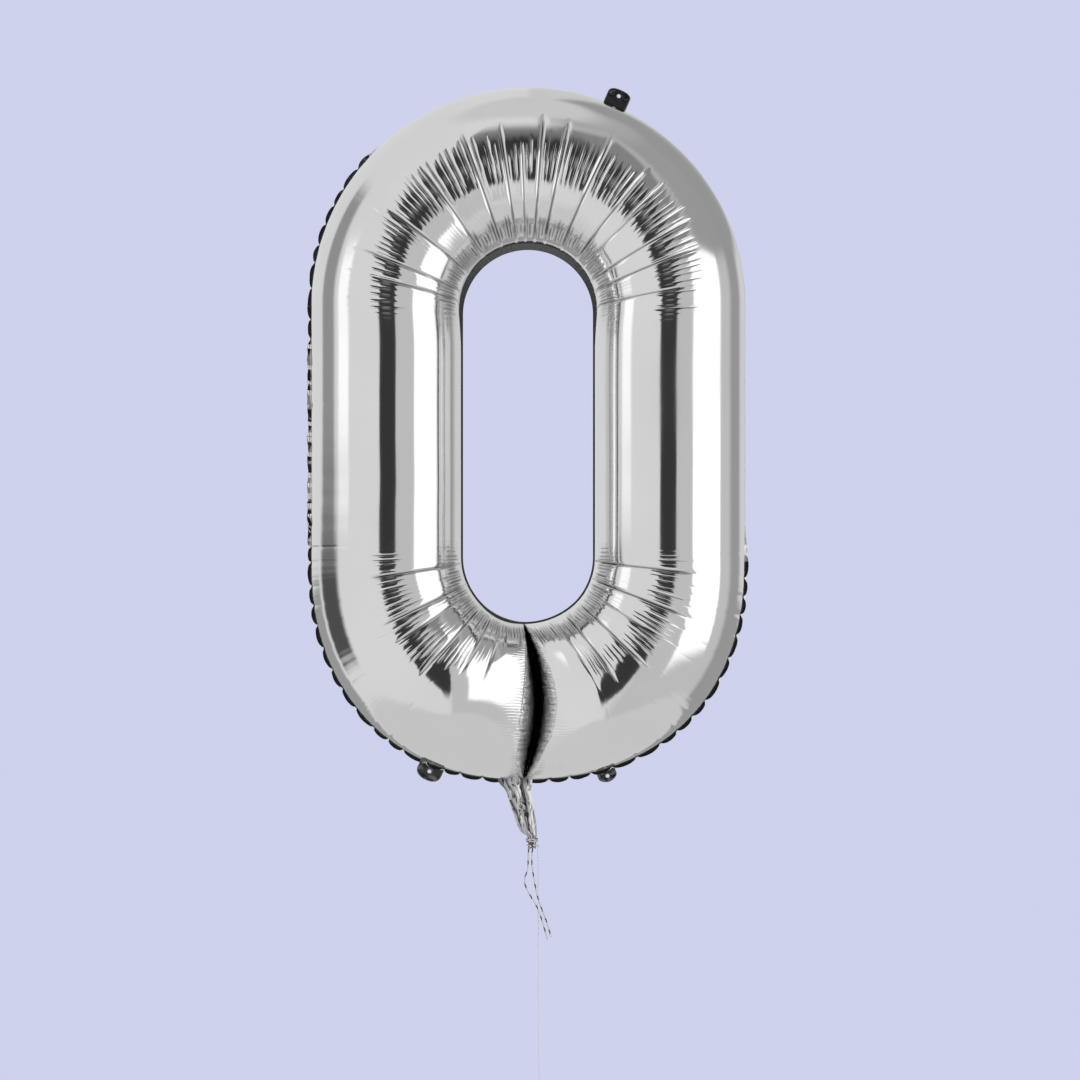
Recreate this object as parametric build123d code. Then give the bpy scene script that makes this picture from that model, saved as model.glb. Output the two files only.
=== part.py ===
"""Foil number balloon: an inflated figure 0 on a line, with its tail tied off in baker's twine.

The figure stands in the XZ plane, its front faces -Y, and the origin is the middle of the figure, where
its lift acts. The two foil panels meet at y = 0, in the welds. Millimetres throughout.
"""

from build123d import *
import math
import os

# The inflated tube, which runs round the figure as two straights and two half turns
TUBE_RADIUS = 82.5
BEND_RADIUS = 153.5  # from the middle of a half turn to the middle of the tube
HALF_STRAIGHT = 140.5
FILM = 0.8  # stands in for film of about 0.05 mm, which no solid model can hold at this size
SEAL = 0.4  # the weld layer between the two panels
OUTER_FLANGE = 4.0
HOLE_FLANGE = 1.5

# The closing weld, a radial strip a little left of the middle, with a valley on both faces
CLOSING_X = -2.0
CLOSING_WIDTH = 5.0
VALLEY_HALF_WIDTH = 11.0  # at the crest of the tube

# The filling neck and its valve, left of the closing weld
NECK_X = -18.5
NECK_WIDTH = 28.0
VALVE_FILM = 0.3
VALVE_LENGTH = 95.0

# The tail below the neck, which narrows to a bundle where it is tied
TAIL_GAP = 1.6  # between the outer flange and the tail, where the film folds
BUNDLE_X = 4.4
BUNDLE_WIDTH = 9.0
BUNDLE_DEPTH = 2.9  # of each film, where it is gathered
BUNDLE_TOP = -439.0
BUNDLE_END = -451.5
TAIL_CREASE = 0.1  # from y = 0 to each film

# The three hanging tabs: place along the outer edge as an angle from straight up, width, length
TAB_GAP = 1.3  # between the outer flange and the tab, where the film folds
TAB_THICKNESS = 1.2
TAB_HOLE_RADIUS = 2.0
TAB_CORNER = 0.42  # corner radius as a share of the tab's length
TOP_TAB = (23.5, 26.0, 14.0)
LEFT_TAB = (-154.7, 28.0, 20.0)
RIGHT_TAB = (159.5, 21.0, 13.0)

# Baker's twine: turns round the tail, a knot in front of them and two free ends
TWINE = 1.8
TWINE_TURNS = 3
TWINE_BINDING_Z = -441.0
TWINE_KNOT_RADIUS = 2.6
TWINE_KNOT = (3.0, -8.1, -447.0)
LEFT_END_ROUTE = [
    (0.9, -9.2, -450.2),
    (0.2, -9.3, -461.0),
    (0.3, -9.5, -473.5),
    (-5.0, -9.3, -485.5),
    (0.2, -9.1, -498.5),
    (9.2, -9.2, -512.0),
    (14.6, -9.4, -526.5),
    (18.5, -9.3, -539.5),
    (21.1, -9.2, -549.4),
]
RIGHT_END_ROUTE = [
    (5.2, -7.0, -450.2),
    (3.9, -7.1, -460.0),
    (4.7, -7.2, -472.3),
    (6.9, -7.1, -485.5),
    (9.3, -7.0, -499.7),
    (13.7, -7.1, -513.5),
    (18.9, -7.2, -526.5),
    (22.6, -7.1, -537.8),
    (25.2, -7.0, -547.2),
]

# Clear line: turns round the tail, a knot behind it, a long taut run and a tied loop at its end
LINE = 1.0
LINE_TURNS = 2
LINE_BINDING_Z = -447.5
LINE_KNOT_RADIUS = 1.6
LINE_KNOT = (10.8, 5.5, -449.4)
LINE_CLEAR = 0.3  # from the knot, which the line turns about
LINE_END = (12.0, 5.5, -716.0)
END_KNOT_RADIUS = 1.8
LOOP_RADIUS = 9.0

TURN_CLEAR = 0.4  # from the bundle to the turns round it
TURN_CORNER = 0.25  # of the depth of a turn
TURN_PITCH = 0.92  # of the cord's diameter, so that the turns lie pressed together

OUTER_RADIUS = BEND_RADIUS + TUBE_RADIUS
HOLE_RADIUS = BEND_RADIUS - TUBE_RADIUS
FLANGE_RADIUS = OUTER_RADIUS + OUTER_FLANGE
FOOT_Z = -(HALF_STRAIGHT + FLANGE_RADIUS)
FRONT, REAR = -1, 1


def round_the_figure(section):
    """Carry a section, drawn right of the origin in XY, round both straights and both half turns."""
    start = Pos(0, 0, HALF_STRAIGHT) * section
    bend = revolve(start, Axis((0, 0, HALF_STRAIGHT), (0, -1, 0)), 180)
    straight = extrude(start, 2 * HALF_STRAIGHT, dir=(0, 0, -1))
    left_straight = mirror(straight, Plane.YZ)
    lower_bend = mirror(bend, Plane.XY)
    return bend + straight + lower_bend + left_straight


def slab(x_from, x_to, y_from, y_to):
    """A rectangle in XY between two corners."""
    middle = Pos((x_from + x_to) / 2, (y_from + y_to) / 2)
    return middle * Rectangle(abs(x_to - x_from), abs(y_to - y_from))


def one_side(side, near=SEAL / 2):
    """The half of the XY plane on the front or rear side of the weld layer."""
    return slab(0, 2 * OUTER_RADIUS, side * near, side * 2 * TUBE_RADIUS)


def panel_section(side):
    """Half a ring of film with a flat flange at the outer edge and at the hole."""
    ring = Circle(TUBE_RADIUS) - Circle(TUBE_RADIUS - FILM)
    wall = Pos(BEND_RADIUS, 0) * ring & one_side(side)
    near, far = side * SEAL / 2, side * (SEAL / 2 + FILM)
    outer = slab(OUTER_RADIUS - FILM, FLANGE_RADIUS, near, far)
    inner = slab(HOLE_RADIUS - HOLE_FLANGE, HOLE_RADIUS + FILM, near, far)
    return wall + outer + inner


def valley_prism(side, floor, half_floor, half_top):
    """A prism along Z over the closing weld, as wide as the valley at the tube's crest."""
    crest = side * TUBE_RADIUS
    outline = Polyline(
        (CLOSING_X - half_floor, side * floor),
        (CLOSING_X + half_floor, side * floor),
        (CLOSING_X + half_top, crest * 1.05),
        (CLOSING_X - half_top, crest * 1.05),
        close=True,
    )
    reach = 2 * TUBE_RADIUS + OUTER_FLANGE + 2 * HOLE_FLANGE + 10
    top = Pos(0, 0, -(HALF_STRAIGHT + HOLE_RADIUS) + HOLE_FLANGE + 5)
    return top * extrude(make_face(outline), reach, dir=(0, 0, -1))


def foil_panel(side):
    """One panel: the half tube, cut at the closing weld and closed there by the valley's two walls."""
    half_floor = CLOSING_WIDTH / 2
    shell = round_the_figure(panel_section(side))
    body = round_the_figure(Pos(BEND_RADIUS, 0) * Circle(TUBE_RADIUS) & one_side(side))
    void = valley_prism(side, SEAL / 2 + FILM, half_floor, VALLEY_HALF_WIDTH)
    filled = valley_prism(side, SEAL / 2, half_floor + FILM, VALLEY_HALF_WIDTH + FILM)
    walls = (body & filled) - void
    return (shell - void) + walls + flange_bridge(side)


def flange_bridge(side):
    """The flanges where the closing weld crosses them, at both ends of the valley."""
    near, far = side * SEAL / 2, side * (SEAL / 2 + FILM)
    across = Pos(CLOSING_X, (near + far) / 2, 0)
    length = 2 * TUBE_RADIUS + OUTER_FLANGE + HOLE_FLANGE - 1
    middle = -(HALF_STRAIGHT + HOLE_RADIUS - HOLE_FLANGE + 0.5 + length / 2)
    return across * Pos(0, 0, middle) * Box(CLOSING_WIDTH, FILM, length)


def outer_seal_band():
    """The weld layer round the outside, open at the filling neck."""
    band = round_the_figure(slab(OUTER_RADIUS, FLANGE_RADIUS, -SEAL / 2, SEAL / 2))
    neck = Pos(NECK_X, 0, FOOT_Z + OUTER_FLANGE) * Box(NECK_WIDTH, 2, 4 * OUTER_FLANGE)
    return band - neck


def hole_seal_band():
    """The weld layer round the hole."""
    return round_the_figure(slab(HOLE_RADIUS - HOLE_FLANGE, HOLE_RADIUS + FILM, -SEAL / 2, SEAL / 2))


def closing_seal_band():
    """The weld layer of the radial weld, between the hole's layer and the outer one."""
    top = -(HALF_STRAIGHT + HOLE_RADIUS + FILM + 0.3)
    bottom = -(HALF_STRAIGHT + OUTER_RADIUS - 0.3)
    strip = Box(CLOSING_WIDTH, SEAL, top - bottom)
    return Pos(CLOSING_X, 0, (top + bottom) / 2) * strip


def valve_film(side):
    """One of the two thin films of the filling valve, which lie together in the neck."""
    width = NECK_WIDTH - 4
    bottom = FOOT_Z + 0.5
    film = Box(width, VALVE_FILM / 2, VALVE_LENGTH)
    return Pos(NECK_X, side * VALVE_FILM / 3, bottom + VALVE_LENGTH / 2) * film


def tail_film(side):
    """One film of the tail, flat at the neck and gathered thick where it is tied."""
    root = Pos(NECK_X, side * (TAIL_CREASE + FILM / 2), FOOT_Z - TAIL_GAP)
    throat = Pos(BUNDLE_X, side * (TAIL_CREASE + BUNDLE_DEPTH / 2), BUNDLE_TOP)
    flat = root * Rectangle(NECK_WIDTH, FILM)
    gathered = throat * Rectangle(BUNDLE_WIDTH, BUNDLE_DEPTH)
    bundle = extrude(gathered, BUNDLE_TOP - BUNDLE_END, dir=(0, 0, -1))
    return loft([flat, gathered], ruled=True) + bundle


def hanging_tab(place):
    """A welded tab on the outer edge, with a straight root, rounded corners and a punched hole."""
    angle, width, length = place
    start = FLANGE_RADIUS + TAB_GAP
    corner = TAB_CORNER * length
    rounded = Pos(0, start + length / 2) * RectangleRounded(width, length, corner)
    root = Pos(0, start + corner / 2) * Rectangle(width, corner)
    hole = Pos(0, start + length / 2) * Circle(TAB_HOLE_RADIUS)
    plate = extrude(rounded + root - hole, TAB_THICKNESS / 2, both=True)
    bend_centre = math.copysign(HALF_STRAIGHT, math.cos(math.radians(angle)))
    return Pos(0, 0, bend_centre) * Rot(0, angle, 0) * Rot(90, 0, 0) * plate


def turns(z, wire, count):
    """Turns of a cord laid side by side round the gathered tail."""
    width = BUNDLE_WIDTH + wire + 2 * TURN_CLEAR
    depth = 2 * (TAIL_CREASE + BUNDLE_DEPTH + TURN_CLEAR) + wire
    route = RectangleRounded(width, depth, TURN_CORNER * depth).wire()
    section = Plane(origin=route @ 0, z_dir=route % 0) * Circle(wire / 2)
    turn = sweep(section, path=route)
    stacked = turn
    for index in range(1, count):
        stacked += Pos(0, 0, -index * TURN_PITCH * wire) * turn
    return Pos(BUNDLE_X, 0, z) * stacked


def corner_radii(route):
    """Each corner's arc, as large as its two runs allow."""
    radii = []
    for before, here, after in zip(route, route[1:], route[2:]):
        first, second = Vector(here) - Vector(before), Vector(after) - Vector(here)
        half_turn = math.radians(first.get_angle(second)) / 2
        radii.append(0.45 * min(first.length, second.length) / math.tan(half_turn))
    return radii


def cord(name, route, diameter):
    """A cord's tube along its route, with the arcs and the volume printed for the reader."""
    radii = corner_radii(route)
    path = FilletPolyline(*route, radius=radii)
    section = Plane(origin=path @ 0, z_dir=path % 0) * Circle(diameter / 2)
    tube = sweep(section, path=path)
    ratio = tube.volume / (section.area * path.length)
    print(f"{name}: length {path.length:.1f}, tightest arc {min(radii):.1f}, volume ratio {ratio:.4f}")
    return tube


def ball(centre, radius):
    """A small tight knot."""
    return Pos(*centre) * Sphere(radius)


def hanging_line():
    """The taut run of clear line, straight from just below the tail's knot to its end knot."""
    x, y, z = LINE_KNOT
    path = Line((x, y, z - LINE_KNOT_RADIUS - LINE_CLEAR), LINE_END)
    section = Plane(origin=path @ 0, z_dir=path % 0) * Circle(LINE / 2)
    print(f"hanging_line: length {path.length:.1f}, straight")
    return sweep(section, path=path)


def line_end_knot():
    """The knot that ties the loop, with its top at the line's end."""
    x, y, z = LINE_END
    return ball((x, y, z - END_KNOT_RADIUS), END_KNOT_RADIUS)


def line_end_loop():
    """The tied loop at the line's end, which starts and ends inside its knot."""
    x, y, z = LINE_END
    middle = Pos(x, y, z - 2 * END_KNOT_RADIUS - LOOP_RADIUS + LINE)
    return middle * Rot(90, 0, 0) * Torus(LOOP_RADIUS, LINE / 2) - line_end_knot()


NODES = {
    "front_foil_panel": lambda: foil_panel(FRONT),
    "rear_foil_panel": lambda: foil_panel(REAR),
    "outer_seal_band": outer_seal_band,
    "hole_seal_band": hole_seal_band,
    "closing_seal_band": closing_seal_band,
    "valve_front_film": lambda: valve_film(FRONT),
    "valve_rear_film": lambda: valve_film(REAR),
    "filling_tail_front_film": lambda: tail_film(FRONT),
    "filling_tail_rear_film": lambda: tail_film(REAR),
    "top_hanging_tab": lambda: hanging_tab(TOP_TAB),
    "lower_left_hanging_tab": lambda: hanging_tab(LEFT_TAB),
    "lower_right_hanging_tab": lambda: hanging_tab(RIGHT_TAB),
    "twine_binding": lambda: turns(TWINE_BINDING_Z, TWINE, TWINE_TURNS),
    "twine_knot": lambda: ball(TWINE_KNOT, TWINE_KNOT_RADIUS),
    "twine_left_end": lambda: cord("twine_left_end", LEFT_END_ROUTE, TWINE),
    "twine_right_end": lambda: cord("twine_right_end", RIGHT_END_ROUTE, TWINE),
    "line_binding": lambda: turns(LINE_BINDING_Z, LINE, LINE_TURNS),
    "line_knot": lambda: ball(LINE_KNOT, LINE_KNOT_RADIUS),
    "hanging_line": hanging_line,
    "line_end_knot": line_end_knot,
    "line_end_loop": line_end_loop,
}

os.makedirs("parts", exist_ok=True)
for node, build in NODES.items():
    export_step(build(), f"parts/{node}.step")
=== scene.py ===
import math
import bmesh
import bpy
import numpy as np
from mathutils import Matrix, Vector


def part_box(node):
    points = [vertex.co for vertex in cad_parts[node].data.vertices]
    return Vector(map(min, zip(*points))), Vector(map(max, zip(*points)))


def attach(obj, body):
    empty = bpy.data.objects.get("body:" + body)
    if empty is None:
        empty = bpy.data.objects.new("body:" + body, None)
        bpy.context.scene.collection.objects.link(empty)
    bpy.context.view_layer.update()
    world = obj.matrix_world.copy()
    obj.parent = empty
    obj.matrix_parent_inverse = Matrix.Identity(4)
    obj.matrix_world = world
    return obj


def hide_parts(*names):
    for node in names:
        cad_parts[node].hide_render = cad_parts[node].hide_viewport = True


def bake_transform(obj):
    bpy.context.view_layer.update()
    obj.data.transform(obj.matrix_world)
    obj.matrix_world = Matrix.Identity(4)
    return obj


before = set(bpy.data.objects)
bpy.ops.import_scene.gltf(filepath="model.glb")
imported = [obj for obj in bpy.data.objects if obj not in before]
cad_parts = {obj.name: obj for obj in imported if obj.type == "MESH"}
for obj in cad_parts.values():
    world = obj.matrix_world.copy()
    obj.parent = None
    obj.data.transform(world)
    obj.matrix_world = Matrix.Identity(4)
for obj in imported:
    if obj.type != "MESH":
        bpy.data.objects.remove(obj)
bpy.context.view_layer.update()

# ---------------------------------------------------------------- camera
# A long lens a good distance in front of the balloon, level, a little right of the figure's middle and
# well below it, so that the tie and the hanging cords are in the view.
MM = 0.001
VIEW_X, VIEW_Z = 13.1 * MM, -115.5 * MM
VIEW_WIDTH = 1.177  # what the view takes in at the balloon
CAMERA_BACK = 3.5
SENSOR = 36.0

lens = bpy.data.cameras.new("camera")
lens.sensor_width = SENSOR
lens.lens = SENSOR * CAMERA_BACK / VIEW_WIDTH
lens.clip_end = 60
camera = bpy.data.objects.new("camera", lens)
camera.location = (VIEW_X, -CAMERA_BACK, VIEW_Z)
camera.rotation_euler = (math.radians(90), 0, 0)
bpy.context.scene.collection.objects.link(camera)
bpy.context.scene.camera = camera
bpy.context.scene.view_settings.view_transform = "Standard"


# ---------------------------------------------------------------- twine ends and clear line
# Baker's twine is two plies of cotton with black dashes dyed along them; its two ends hang limp from
# the knot. The clear line is nylon, drawn taut down to the loop that holds the balloon.
class Sock:
    """A value in a node tree that can be used in Python expressions."""

    def __init__(self, tree, socket):
        self.tree, self.socket = tree, socket

    def _math(self, operation, *values):
        return self.tree.node("ShaderNodeMath", {"operation": operation}, dict(enumerate(values)))

    def __add__(self, other):
        return self._math("ADD", self, other)

    def __sub__(self, other):
        return self._math("SUBTRACT", self, other)

    def __rsub__(self, other):
        return self._math("SUBTRACT", other, self)

    def __mul__(self, other):
        return self._math("MULTIPLY", self, other)

    def __neg__(self):
        return self * -1.0

    __radd__, __rmul__ = __add__, __mul__

    def call(self, operation, *others):
        return self._math(operation, self, *others)

    def smooth(self, low, high):
        """0 below low, 1 above high, and a soft step between."""
        values = {"Value": self, "From Min": low, "From Max": high}
        return self.tree.node("ShaderNodeMapRange", {"interpolation_type": "SMOOTHSTEP"}, values)

    def band(self, low, high, soft):
        return self.smooth(low - soft, low + soft) * (1 - self.smooth(high - soft, high + soft))

    def off_middle(self):
        """How far the value's fraction is from a half: 0.5 at whole numbers."""
        return self.call("FRACT").call("SUBTRACT", 0.5).call("ABSOLUTE")


class Tree:
    """A material's or the world's nodes, all of which come from the method node."""

    def __init__(self, holder):
        holder.use_nodes = True
        self.tree = holder.node_tree
        self.tree.nodes.clear()

    def node(self, kind, settings=None, values=None, out=0):
        made = self.tree.nodes.new(kind)
        for name, value in (settings or {}).items():
            setattr(made, name, value)
        for key, value in (values or {}).items():
            if isinstance(value, Sock):
                self.tree.links.new(value.socket, made.inputs[key])
            else:
                made.inputs[key].default_value = value
        return Sock(self, made.outputs[out]) if made.outputs else None

    def place(self):
        return self.node("ShaderNodeTexCoord", out="Object")

    def noise(self, place, scale, detail, distortion=0.0):
        values = {"Vector": place, "Scale": scale, "Detail": detail, "Distortion": distortion}
        return self.node("ShaderNodeTexNoise", None, values, out="Fac")

    def layer(self, name):
        """A number that the mesh keeps on its points."""
        return self.node("ShaderNodeAttribute", {"attribute_name": name}, out="Fac")

    def mixed(self, share, first, second):
        """The first colour where share is 0, the second where it is 1."""
        return self.node("ShaderNodeMix", {"data_type": "RGBA"}, {"Factor": share, "A": first, "B": second}, out=2)

    def bumped(self, strength, distance, height):
        return self.node("ShaderNodeBump", None, {"Strength": strength, "Distance": distance, "Height": height})

    def parts(self, vector):
        """A vector's x, y and z."""
        split = self.node("ShaderNodeSeparateXYZ", None, {"Vector": vector})
        return [Sock(self, output) for output in split.socket.node.outputs]

    def finish(self, shader, kind="ShaderNodeOutputMaterial"):
        self.node(kind, None, {"Surface": shader})

    def finish_plain(self, looks):
        self.finish(self.node("ShaderNodeBsdfPrincipled", None, looks))


def grey(value):
    return (value, value, value, 1.0)


def finished(bm, name, smooth=True):
    """The bmesh as a mesh."""
    mesh = bpy.data.meshes.new(name)
    bm.to_mesh(mesh)
    bm.free()
    mesh.polygons.foreach_set("use_smooth", [smooth] * len(mesh.polygons))
    return mesh


def add_piece(name, data, body, look, node):
    """A new piece: the body it rides on (or none), its look, the CAD node it stands for."""
    piece = bpy.data.objects.new(name, data)
    bpy.context.scene.collection.objects.link(piece)
    data.materials.append(look)
    if body:
        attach(piece, body)
    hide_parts(node)
    return piece


def cord_curve(name, points, radius, kind="NURBS"):
    """A curve through or along a list of points in metres, with a round section."""
    data = bpy.data.curves.new(name, "CURVE")
    data.dimensions = "3D"
    data.bevel_depth = radius
    data.bevel_resolution = 3
    data.resolution_u = 12
    data.use_fill_caps = True
    spline = data.splines.new(kind)
    spline.points.add(len(points) - 1)
    for point, place in zip(spline.points, points):
        point.co = (*place, 1.0)
    if kind == "NURBS":
        spline.order_u = 3
        spline.use_endpoint_u = True
    return data


def add_curve(bm, data):
    """Add the mesh that a curve makes to a bmesh, and throw the curve away."""
    holder = bpy.data.objects.new("holder", data)
    bm.from_mesh(holder.to_mesh())
    holder.to_mesh_clear()
    bpy.data.objects.remove(holder)
    bpy.data.curves.remove(data)


def along(points):
    """Evenly smooth places along the same curve that a cord of these points follows."""
    bm = bmesh.new()
    add_curve(bm, cord_curve("route", points, 0.0))
    places = [v.co.copy() for v in bm.verts]
    bm.free()
    return places


def travelled(places):
    """How far along the cord each place is."""
    return np.concatenate([[0], np.cumsum([(b - a).length for a, b in zip(places, places[1:])])])


def even_steps(places, step):
    """The places again, the same distance apart."""
    reach = travelled(places)
    count = max(8, int(reach[-1] / step))
    at = np.linspace(0, reach[-1], count + 1)
    columns = [np.interp(at, reach, [p[i] for p in places]) for i in range(3)]
    return [Vector(p) for p in zip(*columns)]


def twisted(places, offset, pitch, phase):
    """A helix about the places: one ply of a twisted cord."""
    side = Vector((0, 1, 0))
    turned, run = [], 0.0
    for index, place in enumerate(places):
        before, after = places[max(index - 1, 0)], places[min(index + 1, len(places) - 1)]
        ahead = (after - before).normalized()
        side = (side - ahead * side.dot(ahead)).normalized()
        angle = phase + 2 * math.pi * run / pitch
        turned.append(place + offset * (math.cos(angle) * side + math.sin(angle) * ahead.cross(side)))
        run += (after - place).length
    return turned


def add_ply(bm, places, radius, number):
    """Add one ply to a bmesh, with its number kept on its points."""
    start = len(bm.verts)
    ply = cord_curve("ply", places, radius, "POLY")
    ply.bevel_resolution = 1
    add_curve(bm, ply)
    bm.verts.ensure_lookup_table()
    layer = bm.verts.layers.float.get("ply") or bm.verts.layers.float.new("ply")
    for vert in bm.verts[start:]:
        vert[layer] = number


TWINE = 1.8 * MM
PLY_OFFSET, PLY_RADIUS = 0.24 * TWINE, 0.27 * TWINE
PLY_STEP = 0.8 * MM
PLY_PITCH = 6.5 * MM
DASH_PITCH = 13.0 * MM


def twine_mesh(name, places):
    """Two plies round each other along the places."""
    bm = bmesh.new()
    steps = even_steps(places, PLY_STEP)
    for number, phase in enumerate((0.0, math.pi)):
        add_ply(bm, twisted(steps, PLY_OFFSET, PLY_PITCH, phase), PLY_RADIUS, number)
    bmesh.ops.recalc_face_normals(bm, faces=bm.faces)
    reach = bm.verts.layers.float.new("reach")
    nearest = np.array([tuple(s) for s in steps])
    marks = np.linspace(0, travelled(steps)[-1], len(steps))
    for vert in bm.verts:
        gap = nearest - np.array(vert.co)
        vert[reach] = marks[int(np.argmin((gap * gap).sum(1)))]
    return finished(bm, name)


def twine_material():
    """White cotton, with black dashes on both plies and a fine fibre along them."""
    material = bpy.data.materials.new("bakers_twine")
    nodes = Tree(material)
    place = nodes.place()
    fibre, fuzz = nodes.noise(place, 2600.0, 4.0), nodes.noise(place, 380.0, 2.0)
    beat = nodes.layer("reach") * (1 / DASH_PITCH) + nodes.layer("ply") * 0.12 + fuzz * 0.10
    dash = beat.call("FRACT").band(0.18, 0.52, 0.03)
    colour = nodes.mixed(dash, (0.80, 0.78, 0.74, 1), (0.014, 0.013, 0.015, 1))
    worn = {"Vector": colour, "Scale": fibre.smooth(0.2, 0.8) * 0.35 + 0.75}
    nodes.finish_plain({
        "Base Color": nodes.node("ShaderNodeVectorMath", {"operation": "SCALE"}, worn),
        "Roughness": 0.9,
        "Normal": nodes.bumped(0.5, 0.2 * MM, fibre),
        "Sheen Weight": 0.3,
        "Sheen Roughness": 0.6,
    })
    return material


def line_material():
    """Clear nylon monofilament: faintly milky, with the drawn surface's fine lengthwise marks."""
    material = bpy.data.materials.new("clear_line")
    nodes = Tree(material)
    cloud = nodes.noise(nodes.place(), 260.0, 3.0)
    nodes.finish_plain({
        "Base Color": nodes.mixed(cloud, (0.80, 0.82, 0.90, 1), (0.93, 0.94, 0.99, 1)),
        "Roughness": cloud * 0.2 + 0.12,
        "Normal": nodes.bumped(0.15, 0.1 * MM, cloud),
        "IOR": 1.53,
        "Subsurface Weight": 0.35,
        "Subsurface Radius": (2 * MM, 2 * MM, 2 * MM),
        "Alpha": 0.62,
    })
    return material


twine_look = twine_material()
line_look = line_material()

TWINE_KNOT = Vector((3.0, -8.1, -447.0)) * MM
LEFT_END = [
    (0.0009, -0.0092, -0.4502),
    (0.0002, -0.0093, -0.4610),
    (0.0003, -0.0095, -0.4735),
    (-0.0050, -0.0093, -0.4855),
    (0.0002, -0.0091, -0.4985),
    (0.0092, -0.0092, -0.5120),
    (0.0146, -0.0094, -0.5265),
    (0.0185, -0.0093, -0.5395),
    (0.0211, -0.0092, -0.5494),
]
RIGHT_END = [
    (0.0052, -0.0070, -0.4502),
    (0.0039, -0.0071, -0.4600),
    (0.0047, -0.0072, -0.4723),
    (0.0069, -0.0071, -0.4855),
    (0.0093, -0.0070, -0.4997),
    (0.0137, -0.0071, -0.5135),
    (0.0189, -0.0072, -0.5265),
    (0.0226, -0.0071, -0.5378),
    (0.0252, -0.0070, -0.5472),
]


def knot_loops(centre, radius, squeeze):
    """A tight overhand knot: a closed trefoil of cord about a middle."""
    places = []
    for step in range(61):
        t = 2 * math.pi * step / 60
        x = math.sin(t) + 2 * math.sin(2 * t)
        y = math.cos(t) - 2 * math.cos(2 * t)
        z = -math.sin(3 * t)
        places.append(centre + Vector((x * radius / 3, z * radius * squeeze / 2, y * radius / 3)))
    return places


knot_mesh = twine_mesh("twine_knot", knot_loops(TWINE_KNOT, 1.9 * MM, 1.1))
twine_knot = add_piece("twine_knot_tied", knot_mesh, "twine_knot", twine_look, "twine_knot")

for name, route in (("twine_left_end", LEFT_END), ("twine_right_end", RIGHT_END)):
    path = along(route)
    strand = add_piece(name + "_plied", twine_mesh(name, path), name, twine_look, name)
    float(travelled(path)[-1])

LINE = 1.0 * MM
LINE_KNOT = Vector((10.8, 5.5, -449.4)) * MM
LINE_TOP = (0.0108, 0.0055, -0.4513)
LINE_END = (0.0120, 0.0055, -0.7160)
END_KNOT_RADIUS = 1.8 * MM
LOOP_RADIUS = 9.0 * MM

drawn = cord_curve("hanging_line", [LINE_TOP, LINE_END], LINE / 2, "POLY")
hanging = add_piece("hanging_line_drawn", drawn, "hanging_line", line_look, "hanging_line")


def line_piece(name, places, body, node):
    """A piece of tied clear line along the places."""
    bm = bmesh.new()
    add_ply(bm, places, LINE / 2, 0.0)
    return add_piece(name, finished(bm, name), body, line_look, node)


def loop_places():
    """The end loop, hung from the end knot: a little narrower than it is high, and slightly warped."""
    middle = Vector(LINE_END) - Vector((0, 0, 2 * END_KNOT_RADIUS + LOOP_RADIUS - LINE))
    places = []
    for step in range(49):
        turn = math.pi / 2 + 2 * math.pi * step / 48
        slack = 1 + 0.10 * math.sin(turn) ** 2
        offset = Vector((math.cos(turn) / slack, 0.05 * math.sin(3 * turn), math.sin(turn)))
        places.append(middle + LOOP_RADIUS * offset)
    return places


line_knot = line_piece("line_knot_tied", knot_loops(LINE_KNOT, 1.15 * MM, 1.2), "line_knot", "line_knot")
end_knot_loops = knot_loops(Vector(LINE_END) - Vector((0, 0, END_KNOT_RADIUS)), 1.35 * MM, 1.1)
end_knot = line_piece("line_end_knot_tied", end_knot_loops, "hanging_line", "line_end_knot")
end_loop = line_piece("line_end_loop_tied", loop_places(), "hanging_line", "line_end_loop")

# ---------------------------------------------------------------- foil panels
# Two sheets of thin metallised film, cut as a 0 and welded along both edges. Gas stretches them into a
# tube: the bends pull the film into radial pleats by the hole, and the outer edge gathers in scallops.
OUTER_BEND = 236.0  # radius of the outer seam's half turns
OUTER_CENTRE = 140.6
HOLE_BEND = 70.8  # radius of the hole's edge
HOLE_TOP_CENTRE, HOLE_FOOT_CENTRE = 129.7, -134.0
CREST_BEND = 153.0  # radius of the tube's crest in the half turns
FULLNESS = 2.22  # the foot of the figure is a little squarer than a circle
TUBE_DEPTH = 83.5
FLANGE = 4.4
FILM_GAP = 0.22  # each film stands off the weld between them
FINE_STEP, COARSE_STEP = 1.07, 5.5
FINE_REACH = 26.0  # how far pleats run into the straights
WALL_STEPS = 22
WALL_TOP = math.radians(82.7)  # where a wall of the closing valley meets the tube's crest
FLANGE_ROWS, HOLE_ROWS = 3, 2
EDGE_SHADE = 0.72  # the scallops lie against the light
LOBE_LEAN = 150.0  # how far along the crest each end of the tube leans towards the closing weld
PLEAT_PITCH, GATHER_PITCH = 5.9, 3.4
QUARTER = math.pi / 2 * CREST_BEND
STRAIGHT = 2 * OUTER_CENTRE
HEAD_START = QUARTER + STRAIGHT
HEAD_MIDDLE = HEAD_START + QUARTER
HEAD_END = HEAD_MIDDLE + QUARTER
RING_LENGTH = 4 * QUARTER + 2 * STRAIGHT


def soft_step(low, high, x):
    t = np.clip((x - low) / (high - low), 0, 1)
    return t * t * (3 - 2 * t)


def wander(seed, x, scale):
    """A smooth random wave of about +-1 along x, which repeats at every run."""
    knots = np.random.default_rng(seed).uniform(-1, 1, 4096)
    at = np.asarray(x) / scale + len(knots) / 4
    low = np.floor(at).astype(int)
    share = soft_step(0, 1, at - low)
    return knots[low % len(knots)] * (1 - share) + knots[(low + 1) % len(knots)] * share


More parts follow.
